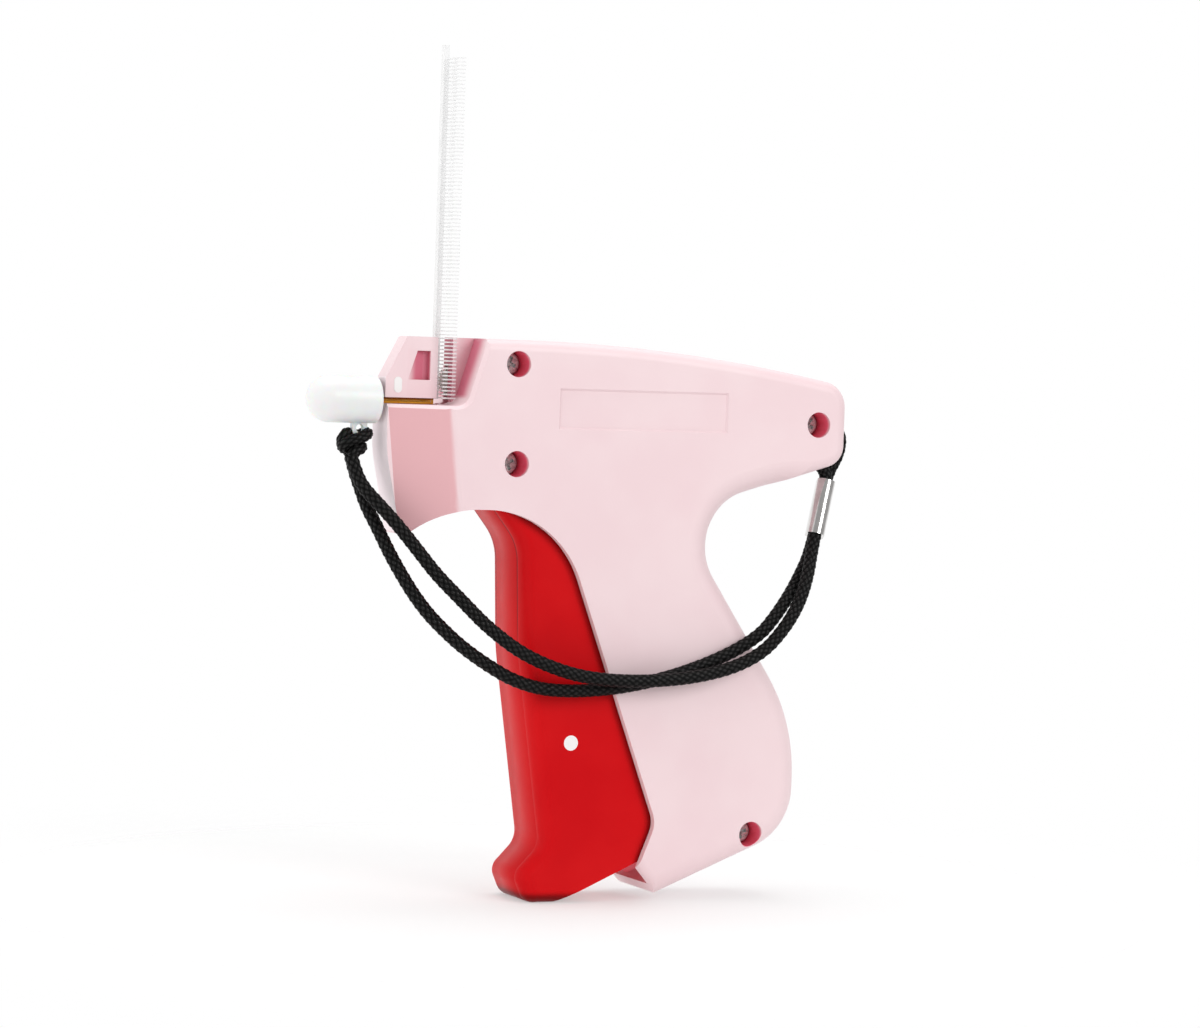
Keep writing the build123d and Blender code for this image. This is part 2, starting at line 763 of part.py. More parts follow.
# Needle cap: a domed shell that grips the needle's tip, with an eyed tab below
def cap_tab(grow):
    """The tab below the cap, round at its foot, or the room for it in the knot."""
    half = tab_width / 2 + grow
    thick = tab_thickness / 2 + grow
    low = needle_z - cap_radius - tab_drop - grow
    tab = block((tab_station - half, tab_station + half), (-thick, thick), (low, needle_z - cap_radius + 0.6))
    foot = [edge for edge in tab.edges().filter_by(Axis.Y) if edge.center().Z < low + 0.1]
    return fillet(foot, tab_width * 0.4)


def needle_cap_solid():
    rim = -cap_gap
    dome = rim - cap_length + cap_radius
    grip_floor = -needle_reach - 0.7
    grip_face = grip_floor + 3.5
    inner = cap_radius - cap_wall
    hold = needle_radius + cap_grip
    with BuildLine() as profile:
        outer = Line((rim, inner), (rim, cap_radius - 0.3))
        lip = Line(outer @ 1, (rim - 0.3, cap_radius))
        side = Line(lip @ 1, (dome, cap_radius))
        nose = CenterArc((dome, 0), cap_radius, 90, 90)
        axis_run = Line(nose @ 1, (grip_floor, 0))
        floor = Line(axis_run @ 1, (grip_floor, hold))
        grip = Line(floor @ 1, (grip_face, hold))
        cone = Line(grip @ 1, (grip_face + 2.5, inner))
        Line(cone @ 1, outer @ 0)
    section = Pos(nose_x, 0, needle_z) * Rot(90, 0, 0) * make_face(profile.line)
    cap = revolve(section, Axis((nose_x, 0, needle_z), (1, 0, 0)))
    low = needle_z - cap_radius - tab_drop
    eye_z = low + tab_width / 2
    return cap + cap_tab(0) - across(tab_station, eye_z, tab_eye, tab_thickness, -tab_thickness)


needle_cap = needle_cap_solid()
knot_station = tab_station - 1.0
knot_z = needle_z - cap_radius - tab_drop - 0.5
knot_half = knot_length / 2 - knot_radius
cord_knot = Pos(nose_x + knot_station, 0, knot_z) * Rot(0, 90, 0) * Cylinder(knot_radius, 2 * knot_half)
for end in (-knot_half, knot_half):
    cord_knot += Pos(nose_x + knot_station + end, 0, knot_z) * Sphere(knot_radius)
cord_knot -= cap_tab(3 * seat_gap)


# Clip: a rail with a comb of fasteners, each a bar, a thread and an end bar
def fastener_clip_solid():
    middle = nose_x + slot_middle
    bar_y = bar_size / 2
    plan = Pos(middle, 0) * Rectangle(bar_length, bar_size)
    plan += Pos(middle, -end_bar_offset) * Rectangle(bar_length, bar_size)
    thread_length = end_bar_offset + rail_offset + bar_y
    plan += Pos(middle, rail_offset + bar_y - thread_length / 2) * Rectangle(thread_size, thread_length)
    pins = []
    for count in range(pin_count):
        low = first_pin_z + count * pin_pitch - thread_size / 2
        pins.append(extrude(Plane.XY.offset(low) * plan, thread_size))
    rail_top = first_pin_z + (pin_count - 1) * pin_pitch + rail_head
    rail = block(
        (slot_middle - rail_width / 2, slot_middle + rail_width / 2),
        (rail_offset, rail_offset + rail_thickness),
        (first_pin_z - thread_size, rail_top),
    )
    return rail.fuse(*pins)


fastener_clip = fastener_clip_solid()


# Wrist cord
def route(points):
    """A cord's middle line: straight runs joined by arcs as large as the runs allow."""
    places = [Vector(nose_x + station, y, z) for station, y, z in points]
    radii = []
    for before, at, after in zip(places, places[1:], places[2:]):
        turn = (at - before).get_angle(after - at)
        shorter = min((at - before).length, (after - at).length)
        radii.append(0.45 * shorter / math.tan(math.radians(turn) / 2))
    return FilletPolyline(*places, radius=radii), radii


def cord(name, points):
    path, radii = route(points)
    tube = sweep(Plane(origin=path @ 0, z_dir=path % 0) * Circle(cord_radius), path=path)
    ideal = math.pi * cord_radius**2 * path.length
    print(name, "length", round(path.length, 1), "volume ratio", round(tube.volume / ideal, 4))
    print("  radii", [round(radius, 1) for radius in radii])
    return tube


ferrule_foot = Vector(nose_x + 105.4, -5.0, 82.7)
ferrule_axis = Vector(3.4, 2.0, 12.3).normalized()
ferrule_side = Vector(0.407, 0.914, 0)
ferrule_plane = Plane(origin=ferrule_foot, x_dir=ferrule_side, z_dir=ferrule_axis)
sleeve_bore = 2 * cord_radius + 2 * seat_gap
sleeve_section = SlotCenterToCenter(sleeve_bore, sleeve_bore + 2 * ferrule_wall)
sleeve_section -= SlotCenterToCenter(sleeve_bore, sleeve_bore)
ferrule = extrude(ferrule_plane * sleeve_section, ferrule_length)


def in_ferrule(side, along):
    """A point on one of the two cords in the sleeve, as (station, y, z)."""
    place = ferrule_plane.from_local_coords(Vector(side * sleeve_bore / 2, 0, along))
    return (place.X - nose_x, place.Y, place.Z)


front_strand = cord("front strand", [
    (-4.6, -2.8, 98.7),
    (-4.1, -5.0, 91.3),
    (3.4, -11.5, 81.1),
    (11.1, -15.0, 71.6),
    (19.6, -16.2, 62.2),
    (30.8, -16.5, 55.2),
    (44.7, -16.6, 50.7),
    (62.5, -16.6, 50.2),
    (77.3, -16.4, 52.2),
    (87.5, -15.7, 56.1),
    (93.6, -14.9, 61.9),
    (98.1, -13.2, 67.8),
    (101.2, -10.8, 74.0),
    in_ferrule(-1, -3.5),
    in_ferrule(-1, 4),
])
back_strand = cord("back strand", [
    (-7.4, 0.4, 98.7),
    (-4.8, -1.6, 91.3),
    (-0.2, -7.0, 79.1),
    (8.2, -12.0, 64.1),
    (17.6, -13.4, 56.1),
    (31.0, -13.4, 48.6),
    (45.9, -13.4, 47.6),
    (63.1, -13.4, 50.0),
    (78.3, -13.3, 54.9),
    (88.1, -12.9, 60.0),
    (92.4, -11.9, 64.2),
    (96.8, -9.8, 68.8),
    (100.8, -7.2, 73.4),
    in_ferrule(1, -3.5),
    in_ferrule(1, 4),
])
cord_loop = cord("loop", [
    in_ferrule(1, ferrule_length - 3),
    in_ferrule(1, ferrule_length + 2.2),
    (112.3, -2.0, 101.2),
    (112.6, -2.4, 105.4),
    (110.9, -2.6, 107.1),
    (108.5, -2.7, 107.1),
    (106.8, -2.8, 105.4),
    (106.4, -3.1, 102.6),
    (106.3, -3.6, 99.2),
    in_ferrule(-1, ferrule_length + 1.5),
    in_ferrule(-1, ferrule_length - 3),
])

nodes = {
    "left_shell": left_half,
    "right_shell": right_half,
    "casing_screws": Compound(casing_screws),
    "trigger": trigger,
    "link_pin": link_pin,
    "drive_link": drive_link,
    "drive_lever": drive_lever,
    "lever_pins": Compound(lever_pins),
    "lever_axle": lever_axle,
    "return_spring": return_spring,
    "slide": slide,
    "push_rod": push_rod,
    "feed_pawl": feed_pawl,
    "feed_wheel": feed_wheel,
    "feed_axle": feed_axle,
    "detent_spring": detent_spring,
    "needle": needle(),
    "needle_lock": needle_lock,
    "cutter_blade": blade,
    "needle_cap": needle_cap,
    "fastener_clip": fastener_clip,
    "cord_knot": cord_knot,
    "cord_front_strand": front_strand,
    "cord_back_strand": back_strand,
    "cord_loop": cord_loop,
    "ferrule": ferrule,
}
os.makedirs("parts", exist_ok=True)
for name, shape in nodes.items():
    export_step(shape, f"parts/{name}.step")
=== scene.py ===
import math

import bpy
from mathutils import Matrix, Vector


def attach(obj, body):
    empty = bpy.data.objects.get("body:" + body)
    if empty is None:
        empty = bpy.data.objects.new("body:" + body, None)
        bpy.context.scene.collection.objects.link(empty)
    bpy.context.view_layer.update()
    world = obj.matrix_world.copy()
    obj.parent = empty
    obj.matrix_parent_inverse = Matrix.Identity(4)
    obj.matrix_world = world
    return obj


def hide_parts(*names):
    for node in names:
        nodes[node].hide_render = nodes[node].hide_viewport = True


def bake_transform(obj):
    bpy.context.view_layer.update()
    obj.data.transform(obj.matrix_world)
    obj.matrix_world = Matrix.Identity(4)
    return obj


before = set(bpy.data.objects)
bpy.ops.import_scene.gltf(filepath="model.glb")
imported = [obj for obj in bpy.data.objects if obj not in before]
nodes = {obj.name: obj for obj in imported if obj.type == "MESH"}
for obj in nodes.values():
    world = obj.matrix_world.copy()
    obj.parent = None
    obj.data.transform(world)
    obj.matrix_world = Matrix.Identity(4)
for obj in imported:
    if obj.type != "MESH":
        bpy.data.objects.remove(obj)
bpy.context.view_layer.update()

# Camera at the photograph's place: about level with the top of the barrel, in front of the tool's
# left side and a little towards its nose, with a long lens and a slight roll.
VIEW_YAW = math.radians(24.0)
VIEW_DOWN = math.radians(2.5)
VIEW_ROLL = math.radians(2.0)
VIEW_DISTANCE = 0.9
VIEW_CENTRE = Vector((0.0023, -0.0115, 0.0872))
SENSOR_WIDTH = 36.0
PHOTO_WIDTH = 1200
FOCAL_PIXELS = 4050
NEAR_CLIP = 0.01

forward = Vector((
    math.sin(VIEW_YAW) * math.cos(VIEW_DOWN),
    math.cos(VIEW_YAW) * math.cos(VIEW_DOWN),
    -math.sin(VIEW_DOWN),
))
level = Vector((math.cos(VIEW_YAW), -math.sin(VIEW_YAW), 0.0))
upright = level.cross(forward)
across = level * math.cos(VIEW_ROLL) + upright * math.sin(VIEW_ROLL)
above = upright * math.cos(VIEW_ROLL) - level * math.sin(VIEW_ROLL)
camera = bpy.data.objects.new("camera", bpy.data.cameras.new("camera"))
bpy.context.scene.collection.objects.link(camera)
camera.matrix_world = Matrix.Translation(VIEW_CENTRE - forward * VIEW_DISTANCE) @ Matrix(
    (across, above, -forward)
).transposed().to_4x4()
camera.data.lens = SENSOR_WIDTH * FOCAL_PIXELS / PHOTO_WIDTH
camera.data.sensor_width = SENSOR_WIDTH
camera.data.clip_start = NEAR_CLIP
bpy.context.scene.camera = camera
bpy.context.scene.view_settings.view_transform = "Standard"

# Table and studio: a pale table top under the tool, which fades out at its edge, and a plain white
# room round it. The backdrop is white, the room is dimmer on the camera's side and lighter to the
# left and from below, and three large soft panels light the tool.
FLOOR_SIZE = 1.2
FLOOR_GREY = 0.95
FLOOR_ROUGH = 0.7
FLOOR_CLEAR = 0.05
FLOOR_GONE = 0.20
FLOOR_SHADE = 0.6
ROOM = 0.47
ROOM_BELOW = 0.34
ROOM_LEFT = 0.44
ROOM_MIRRORED = 0.42
BACKDROP_EDGES = (-0.15, 0.35)
LEFT_EDGES = (0.3, -0.8)
BELOW_EDGES = (0.1, -0.7)
CLOUD_EDGES = (0.3, 0.7)


class Shade:
    """One value in a material's node tree. Sums on it add Math nodes to that tree."""

    def __init__(self, tree, socket):
        self.tree = tree
        self.socket = socket

    def node(self, kind, settings=None, inputs=None, out=0):
        """One of a new node's outputs. Its settings come first, then its sockets' values or links."""
        made = self.tree.nodes.new(kind)
        for name, value in (settings or {}).items():
            setattr(made, name, value)
        for name, value in (inputs or {}).items():
            socket = made.inputs[name]
            if isinstance(value, Shade):
                self.tree.links.new(value.socket, socket)
            else:
                socket.default_value = value
        return Shade(self.tree, made.outputs[out])

    def maths(self, operation, *others):
        inputs = {0: self}
        inputs.update({place + 1: other for place, other in enumerate(others)})
        return self.node("ShaderNodeMath", {"operation": operation}, inputs)

    def __add__(self, other):
        return self.maths("ADD", other)

    __radd__ = __add__

    def __mul__(self, other):
        return self.maths("MULTIPLY", other)

    __rmul__ = __mul__

    def __sub__(self, other):
        return self.maths("SUBTRACT", other)

    def __rsub__(self, other):
        return self.node("ShaderNodeMath", {"operation": "SUBTRACT"}, {0: other, 1: self})

    def __gt__(self, other):
        return self.maths("GREATER_THAN", other)

    def __lt__(self, other):
        return self.maths("LESS_THAN", other)

    def between(self, low, high):
        """1 between low and high, 0 elsewhere."""
        return (self > low) * (self < high)

    def ease(self, low, high):
        """0 below low, 1 above high, smooth between."""
        return self.node(
            "ShaderNodeMapRange",
            {"interpolation_type": "SMOOTHSTEP"},
            {"Value": self, "From Min": low, "From Max": high},
        )

    def spread(self, low, high):
        """A value from 0 to 1, stretched to go from low to high."""
        return self * (high - low) + low

    def mix(self, first, second):
        """Two colours mixed by this value. They are a Mix node's inputs 6 and 7, and its output 2."""
        mixed = self.node("ShaderNodeMix", {"data_type": "RGBA"}, {0: self}).socket.node
        for slot, colour in ((6, first), (7, second)):
            if isinstance(colour, Shade):
                self.tree.links.new(colour.socket, mixed.inputs[slot])
            else:
                mixed.inputs[slot].default_value = (*colour, 1.0)
        return Shade(self.tree, mixed.outputs[2])

    def noise(self, scale, detail=2.0):
        return self.node("ShaderNodeTexNoise", None, {"Vector": self, "Scale": scale, "Detail": detail})

    def clouds(self, first, second, scale):
        """Two colours in soft clouds."""
        return self.noise(scale).ease(*CLOUD_EDGES).mix(first, second)

    def axes(self):
        """The three numbers of a vector."""
        apart = self.node("ShaderNodeSeparateXYZ", None, {0: self}).socket.node
        return [Shade(self.tree, output) for output in apart.outputs]

    def bump(self, strength, distance):
        return self.node("ShaderNodeBump", None, {"Height": self, "Strength": strength, "Distance": distance})


def finish_named(name, **fixed):
    """A new material, its shader with some sockets set, and the object's own coordinates."""
    material = bpy.data.materials.new(name)
    material.use_nodes = True
    tree = material.node_tree
    shader = tree.nodes["Principled BSDF"]
    for socket, value in fixed.items():
        shader.inputs[socket.replace("_", " ")].default_value = value
    place = Shade(tree, tree.nodes.new("ShaderNodeTexCoord").outputs["Object"])
    return material, shader, place


def feed(shader, **links):
    """Links values to a shader's sockets."""
    for socket, value in links.items():
        shader.id_data.links.new(value.socket, shader.inputs[socket.replace("_", " ")])


def panel(name, spot, aim, size, power):
    """A square soft light panel."""
    lamp = bpy.data.lights.new(name, "AREA")
    lamp.size = size
    lamp.energy = power
    lamp_object = bpy.data.objects.new(name, lamp)
    bpy.context.scene.collection.objects.link(lamp_object)
    lamp_object.location = spot
    lamp_object.rotation_euler = (Vector(aim) - Vector(spot)).to_track_quat("-Z", "Y").to_euler()


floor_material, shader, place = finish_named(
    "pale_floor", Roughness=FLOOR_ROUGH, Base_Color=(FLOOR_GREY, FLOOR_GREY, FLOOR_GREY, 1)
)
distance = place.node("ShaderNodeVectorMath", {"operation": "LENGTH"}, {0: place}, out=1)
feed(shader, Alpha=(1.0 - distance.ease(FLOOR_CLEAR, FLOOR_GONE)) * FLOOR_SHADE)
bpy.ops.object.select_all(action="DESELECT")
bpy.ops.mesh.primitive_plane_add(size=FLOOR_SIZE, location=(0, 0, 0))
floor = bpy.context.object
floor.name = "floor"
floor.data.materials.append(floor_material)

world = bpy.data.worlds.new("studio")
bpy.context.scene.world = world
world.use_nodes = True
tree = world.node_tree
sky = tree.nodes["Background"]
sky.inputs["Color"].default_value = (1, 1, 1, 1)
paths = tree.nodes.new("ShaderNodeLightPath").outputs
direct = Shade(tree, paths["Is Camera Ray"]).maths("MAXIMUM", Shade(tree, paths["Is Transmission Ray"]))
mirrored = Shade(tree, paths["Is Glossy Ray"])
toward = Shade(tree, tree.nodes.new("ShaderNodeTexCoord").outputs["Generated"])
rightward, backward, upward = toward.axes()
backdrop = backward.ease(*BACKDROP_EDGES).spread(ROOM_MIRRORED, 1.0)
room = rightward.ease(*LEFT_EDGES) * ROOM_LEFT + upward.ease(*BELOW_EDGES) * ROOM_BELOW + ROOM
indirect = mirrored * (backdrop - room) + room
tree.links.new((direct * (1.0 - indirect) + indirect).socket, sky.inputs["Strength"])

panel("key_panel", spot=(0.50, -1.10, 0.60), aim=(0, 0, 0.1), size=0.6, power=6.1)
panel("top_panel", spot=(0.1, 0.1, 1.1), aim=(0, 0, 0.1), size=0.8, power=5.0)
panel("nose_panel", spot=(-0.95, 0.05, 0.20), aim=(-0.03, 0, 0.1), size=1.2, power=2.0)

# Body shells: two halves of pink plastic, moulded with a fine satin grain. Their colour holds painted
# shade: deeper pink on the nose's left bevel, rose in the window and the cut over the needle, crimson
# inside the recesses. The nose's front is painted paler as painted light, and the inner walls have a
# faint red painted glow, standing in for light coming through the plastic.
PINK = (0.87, 0.685, 0.705)
PINK_CLOUD = (0.85, 0.65, 0.675)
BEVEL_SHADE_PINK = (0.77, 0.425, 0.45)
NOSE_LIGHT_PINK = (0.96, 0.83, 0.86)
ROSE_SHADE = (0.63, 0.16, 0.23)
RECESS_SHADE_CRIMSON = (0.95, 0.15, 0.25)
PAINTED_GLOW_RED = (0.20, 0.035, 0.045)
DARK = (0.0, 0.0, 0.0)
NOSE_X = -0.0462
SCREW_SEATS = [(0.0278, 0.1199), (0.0281, 0.0979), (0.1022, 0.1082), (0.0887, 0.0149)]
RECESS_RADIUS = 0.003
RECESS_MOUTH = (-0.0115, -0.0098)
RECESS_END = -0.003
TOP_FACING = (0.3, 0.6)
FRONT_FACING = (0.86, 0.97)
FRONT_DEPTH = 0.006
BEVEL_FACING = (0.16, 0.36)
BEVEL_TURNED = (0.82, 0.95)
BEVEL_DEPTH = 0.016
BEVEL_SIDE = -0.0035
WINDOW_MOUTH = (-0.0027, -0.0017)
WINDOW_FLOOR = 0.0008
WINDOW_FRONT, WINDOW_REAR = NOSE_X + 0.005, NOSE_X + 0.0112
WINDOW_LOW, WINDOW_TOP = 0.112, 0.1225
CUT_SIDE = (0.0108, 0.0055)
CUT_FRONT, CUT_REAR = NOSE_X + 0.0125, NOSE_X + 0.032
CUT_FOOT = 0.1095
CUT_FACING = (0.10, 0.45)
CREASE_FOOT = 0.110
CREASE_LEAN = 0.312
CREASE_EDGES = (NOSE_X + 0.010, NOSE_X + 0.0165)
CREASE_SHARE = 0.65
INWARD_FACING = (0.4, 0.6)
RIGHT_INSIDE = 0.0085


def dress(node, material):
    """A new material on a CAD piece."""
    nodes[node].data.materials.clear()
    nodes[node].data.materials.append(material)


shell_material, shader, place = finish_named("pink_plastic", IOR=1.49, Emission_Strength=1.0)
shell_material.cycles.emission_sampling = "NONE"
x, y, z = place.axes()
facing = Shade(place.tree, place.socket.node.outputs["Normal"]).axes()
ahead = 0.0 - facing[0]
not_top = 1.0 - facing[2].ease(*TOP_FACING)
# Paler pink on the nose's front face: painted light.
painted_nose_light = ahead.ease(*FRONT_FACING) * (x < NOSE_X + FRONT_DEPTH)
# Deeper pink on the nose's left bevel: painted shade.
painted_bevel_shade = (
    ahead.ease(*BEVEL_FACING)
    * (1.0 - ahead.ease(*BEVEL_TURNED))
    * (x < NOSE_X + BEVEL_DEPTH)
    * (y < BEVEL_SIDE)
    * not_top
)
# Rose in the window, the cut over the needle and its crease: painted shade.
window = (
    y.ease(*WINDOW_MOUTH)
    * (y < WINDOW_FLOOR)
    * x.between(WINDOW_FRONT, WINDOW_REAR)
    * z.between(WINDOW_LOW, WINDOW_TOP)
)
crease = (x - (z - CREASE_FOOT) * CREASE_LEAN).ease(*CREASE_EDGES)
in_cut = y.maths("ABSOLUTE").ease(*CUT_SIDE) * x.between(CUT_FRONT, CUT_REAR) * (z > CUT_FOOT) * not_top
painted_rose_shade = window.maths("MAXIMUM", in_cut * ahead.ease(*CUT_FACING).maths("MAXIMUM", crease * CREASE_SHARE))
# Crimson inside the screw recesses: painted shade.
painted_recess_shade = None
for station, height in SCREW_SEATS:
    away = (x - (NOSE_X + station)).maths("POWER", 2.0) + (z - height).maths("POWER", 2.0)
    near = away < RECESS_RADIUS**2
    painted_recess_shade = near if painted_recess_shade is None else painted_recess_shade.maths("MAXIMUM", near)
painted_recess_shade = painted_recess_shade * y.ease(*RECESS_MOUTH) * (y < RECESS_END)
# Faint red glow from the inner walls: a painted glow standing in for light coming through the plastic.
painted_glow_walls = facing[1].ease(*INWARD_FACING) * (y < 0.0) + (0.0 - facing[1]).ease(*INWARD_FACING) * (
    y > RIGHT_INSIDE
)
outside = painted_bevel_shade.mix(painted_nose_light.mix(place.clouds(PINK, PINK_CLOUD, scale=60.0), NOSE_LIGHT_PINK), BEVEL_SHADE_PINK)
feed(
    shader,
    Base_Color=painted_recess_shade.mix(painted_rose_shade.mix(outside, ROSE_SHADE), RECESS_SHADE_CRIMSON),
    Emission_Color=painted_glow_walls.mix(DARK, PAINTED_GLOW_RED),
    Roughness=place.noise(scale=220.0).spread(0.34, 0.48),
    Normal=place.noise(scale=3200.0, detail=3.0).bump(strength=0.03, distance=0.0002),
)
for node in ("left_shell", "right_shell"):
    dress(node, shell_material)

# Drive inside the grip and barrel: link, lever, slide and feed wheel, moulded in uncoloured plastic.
# They lie between the shells on pins and in guides, and show only through the clip's slot.
NATURAL = (0.80, 0.78, 0.72)
NATURAL_CLOUD = (0.74, 0.72, 0.66)

natural_material, shader, place = finish_named("natural_plastic", IOR=1.48)
feed(
    shader,
    Base_Color=place.clouds(NATURAL, NATURAL_CLOUD, scale=90.0),
    Roughness=place.noise(scale=300.0).spread(0.35, 0.55),
)
for node in ("drive_link", "drive_lever", "slide", "feed_wheel"):
    dress(node, natural_material)

# Pins, springs, pawl and push rod of the drive: plain steel wire and strip, cut, bent and left
# uncoated. The pins join the plastic pieces, and the springs bear on their neighbours.
STEEL = (0.50, 0.47, 0.45)
STEEL_DULL = (0.36, 0.33, 0.31)

steel_material, shader, place = finish_named("steel", Metallic=1.0)
feed(
    shader,
    Base_Color=place.clouds(STEEL, STEEL_DULL, scale=700.0),
    Roughness=place.noise(scale=900.0).spread(0.25, 0.50),
)
for node in (
    "lever_pins", "lever_axle", "return_spring", "push_rod", "feed_pawl", "feed_axle", "detent_spring",
):
    dress(node, steel_material)

# Needle and blade: brass tube, ground to a slant and slit along its left side for the fastener's
# thread, darker along its top, and a small brass blade at the foot of the clip's slot.
GOLD = (1.0, 0.56, 0.05)
GOLD_DULL = (1.0, 0.50, 0.04)
DARK_TOP = (0.34, 0.11, 0.01)
NEEDLE_Z = 0.1110
DARK_TOP_EDGES = (NEEDLE_Z + 0.0002, NEEDLE_Z + 0.00035)

brass_material, shader, place = finish_named("brass", Metallic=0.05)
# Darker brown along the needle's top.
darker_top = place.axes()[2].ease(*DARK_TOP_EDGES)
feed(
    shader,
    Base_Color=darker_top.mix(place.clouds(GOLD, GOLD_DULL, scale=600.0), DARK_TOP),
    Roughness=place.noise(scale=900.0).spread(0.2, 0.4),
)
for node in ("needle", "cutter_blade"):
    dress(node, brass_material)

# Trigger: glossy red plastic, moulded with a fine groove between its slightly crowned front face and
# its rounded edges; the groove is drawn as a dark line of painted shade. It hangs on a pivot between
# the shells, and painted shade darkens it where it goes in.
RED = (0.58, 0.0030, 0.0060)
RED_CLOUD = (0.63, 0.0055, 0.0080)
GROOVE_SHADE_RED = (0.30, 0.002, 0.004)
TUCKED_SHADE_RED = (0.20, 0.001, 0.002)
TUCKED_REACH = 0.004
TUCKED_EDGES = (0.45, 0.85)
TUCKED_SAMPLES = 8
GROOVE_SIDE = 0.0062
GROOVE_EDGES = (0.00044, 0.000088)
GROOVE_FACING = (0.3, 0.5)
GROOVE_FADES = (0.052, 0.066)
CROWN_HEIGHT = 0.0009

trigger_material, shader, place = finish_named("red_plastic", IOR=1.5, Specular_IOR_Level=0.08)
y, z = place.axes()[1:]
ahead = 0.0 - Shade(place.tree, place.socket.node.outputs["Normal"]).axes()[0]
# The fine groove is a dark line of painted shade; the crown is a bump.
painted_groove_shade = (y.maths("ABSOLUTE") - GROOVE_SIDE).maths("ABSOLUTE").ease(*GROOVE_EDGES)
painted_groove_shade = painted_groove_shade * ahead.ease(*GROOVE_FACING) * z.ease(*GROOVE_FADES)
# Painted shade: the red goes darker where occlusion is high, where the trigger goes in between the shells.
openness = place.node(
    "ShaderNodeAmbientOcclusion", {"samples": TUCKED_SAMPLES}, {"Distance": TUCKED_REACH}, out=1
).ease(*TUCKED_EDGES)
crown = (y * (1.0 / GROOVE_SIDE)).maths("POWER", 2.0).maths("MINIMUM", 1.0)
feed(
    shader,
    Base_Color=openness.mix(TUCKED_SHADE_RED, painted_groove_shade.mix(place.clouds(RED, RED_CLOUD, scale=50.0), GROOVE_SHADE_RED)),
    Roughness=place.noise(scale=260.0).spread(0.27, 0.37),
    Normal=(0.0 - crown).bump(strength=1.0, distance=CROWN_HEIGHT),
)
dress("trigger", trigger_material)

# Link pin and needle lock: small white plastic mouldings. The pin goes through the trigger's sides
# and carries the link, and the lock's oval nub stands in the side of the nose block.
WHITE = (0.93, 0.92, 0.91)
WHITE_CLOUD = (0.88, 0.87, 0.86)

white_material, shader, place = finish_named("white_plastic", IOR=1.48)
feed(
    shader,
    Base_Color=place.clouds(WHITE, WHITE_CLOUD, scale=90.0),
    Roughness=place.noise(scale=300.0).spread(0.25, 0.45),
)
for node in ("link_pin", "needle_lock"):
    dress(node, white_material)

# Casing screws: four steel pan heads deep in the left shell's recesses, which hold the two halves
# together. Each is turned, and a cross is pressed into its head.
# The steel colour is tinted green, painted against the red light that the recess walls throw on the heads.
STEEL_GREENED_AGAINST_RED = (0.80, 1.0, 0.97)
STEEL_GREENED_AGAINST_RED_DULL = (0.48, 0.62, 0.60)
HEAD_RADIUS = 0.0026
HEAD_SIDES = 40
HEAD_TOP = -0.0058
HEAD_UNDER = -0.0040
HEAD_ROUND = 0.0009
HEAD_ROUND_STEPS = 5
SHANK_RADIUS = 0.0011
SHANK_END = 0.0070
CROSS_LONG = 0.0033
CROSS_WIDE = 0.0008
CROSS_DEEP = 0.0009
CROSS_TURNS = (20.0, 65.0, 35.0, 80.0)
FLAT_ENOUGH = 0.9
SMOOTH_ANGLE = math.radians(40)


def pick(piece, wanted):
    """Into edit mode, with the faces selected that a rule on their normal accepts."""
    bpy.ops.object.mode_set(mode="EDIT")
    bpy.ops.mesh.select_mode(type="FACE")
    bpy.ops.mesh.select_all(action="DESELECT")
    bpy.ops.object.mode_set(mode="OBJECT")
    for face in piece.data.polygons:
        face.select = wanted(face.normal)
    bpy.ops.object.mode_set(mode="EDIT")


screw_material, shader, place = finish_named("screw_steel", Metallic=0.25)
feed(
    shader,
    Base_Color=place.clouds(STEEL_GREENED_AGAINST_RED, STEEL_GREENED_AGAINST_RED_DULL, scale=1500.0),
    Roughness=place.noise(scale=1900.0).spread(0.2, 0.4),
    Normal=place.noise(scale=4000.0, detail=3.0).bump(strength=0.1, distance=0.0002),
)
bpy.ops.object.select_all(action="DESELECT")
bpy.ops.mesh.primitive_cylinder_add(
    vertices=HEAD_SIDES, radius=HEAD_RADIUS, depth=HEAD_UNDER - HEAD_TOP,
    location=(0, (HEAD_TOP + HEAD_UNDER) / 2, 0), rotation=(math.pi / 2, 0, 0),
)
screw = bpy.context.object
bpy.ops.object.transform_apply(location=True, rotation=True, scale=True)
pick(screw, lambda normal: normal.y < -FLAT_ENOUGH)
bpy.ops.mesh.bevel(offset=HEAD_ROUND, segments=HEAD_ROUND_STEPS, affect="EDGES")
pick(screw, lambda normal: normal.y > FLAT_ENOUGH)
bpy.ops.mesh.inset(thickness=HEAD_RADIUS - SHANK_RADIUS)
bpy.ops.mesh.extrude_region_move(TRANSFORM_OT_translate={"value": (0, SHANK_END - HEAD_UNDER, 0)})
bpy.ops.object.mode_set(mode="OBJECT")
for long, wide in ((CROSS_LONG, CROSS_WIDE), (CROSS_WIDE, CROSS_LONG)):
    bpy.ops.object.select_all(action="DESELECT")
    bpy.ops.mesh.primitive_cube_add(size=1.0, location=(0, HEAD_TOP, 0), scale=(long, 2 * CROSS_DEEP, wide))
    cutter = bpy.context.object
    bpy.ops.object.transform_apply(location=True, rotation=True, scale=True)
    screw.modifiers.new("cross", "BOOLEAN").object = cutter
    bpy.ops.object.select_all(action="DESELECT")
    screw.select_set(True)
    bpy.context.view_layer.objects.active = screw
    bpy.ops.object.modifier_apply(modifier="cross")
    bpy.data.objects.remove(cutter)
bpy.ops.object.shade_smooth_by_angle(angle=SMOOTH_ANGLE)
screw.data.materials.append(screw_material)
